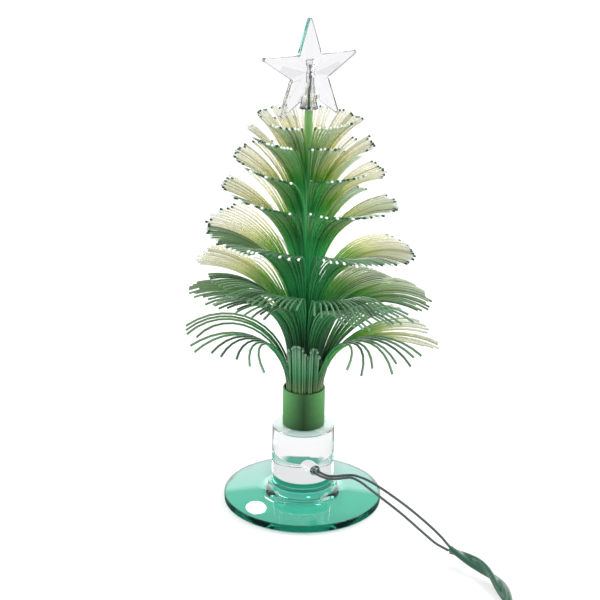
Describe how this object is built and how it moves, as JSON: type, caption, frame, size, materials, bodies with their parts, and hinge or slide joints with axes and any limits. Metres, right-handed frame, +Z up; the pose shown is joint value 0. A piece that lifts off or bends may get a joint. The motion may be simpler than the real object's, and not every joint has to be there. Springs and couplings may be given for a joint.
{
  "type": "fibre optic tree lamp",
  "caption": "Table lamp shaped like a tree: green light fibres fan out over a clear block on a round green glass foot, with a clear star on top and a thin lead.",
  "frame": {"origin": "centre of the underside of the round foot, which is the middle of the box round the lamp without its lead", "axes": "+Z up along the stem; -Y the front, as pictured; +X to the right seen from the front"},
  "size_m": [0.1329, 0.219, 0.2014],
  "materials": {
    "green_glass": "clear, polished, aqua green",
    "clear_block": "clear, polished",
    "led_lens": "clear epoxy lens",
    "tinned_steel": "tinned wire",
    "clear_glue": "clear glue",
    "wire_sleeve": "grey satin",
    "flex_sleeve": "dark green satin",
    "dark_plastic": "dark green satin",
    "plug_steel": "nickel plated steel",
    "white_plastic": "satin",
    "contact_gold": "gold plated",
    "collar_green": "satin green",
    "fibre_end": "polished fibre ends in clear resin",
    "stem_plastic": "light green, half clear",
    "fibre": "green fibres that pale to cream at their tips",
    "clear_plastic": "clear, moulded, polished"
  },
  "bodies": {
    "base": {"base_foot": "green_glass", "light_block": "clear_block", "led_body": "led_lens", "led_leg_long": "tinned_steel", "led_leg_short": "tinned_steel", "outlet_seal": "clear_glue", "wire_front": "wire_sleeve", "wire_back": "wire_sleeve", "flex_lead": "flex_sleeve", "flex_coil": "flex_sleeve", "flex_tail": "flex_sleeve", "coil_tie": "dark_plastic", "plug_relief": "dark_plastic", "plug_body": "dark_plastic", "plug_shell": "plug_steel", "plug_tongue": "white_plastic", "plug_contact_1": "contact_gold", "plug_contact_2": "contact_gold", "plug_contact_3": "contact_gold", "plug_contact_4": "contact_gold"},
    "tree": {"collar": "collar_green", "bundle_end": "fibre_end", "stem_rod": "stem_plastic", "fibres_bottom": "fibre", "fibres_lower": "fibre", "fibres_upper": "fibre", "fibres_top": "fibre"},
    "socket": {"star_socket": "clear_plastic"},
    "star": {"star_topper": "clear_plastic"}
  },
  "joints": [
    {"name": "tree_lift", "type": "slide", "parent": "base", "child": "tree", "axis": [0, 0, 1], "range_m": [0, 0.012]},
    {"name": "star_turn", "type": "hinge", "parent": "tree", "child": "socket", "pos_m": [0, 0, 0.18], "axis": [0, 0, 1], "continuous": true},
    {"name": "star_lift", "type": "slide", "parent": "socket", "child": "star", "axis": [0, 0, 1], "range_m": [0, 0.018]}
  ]
}
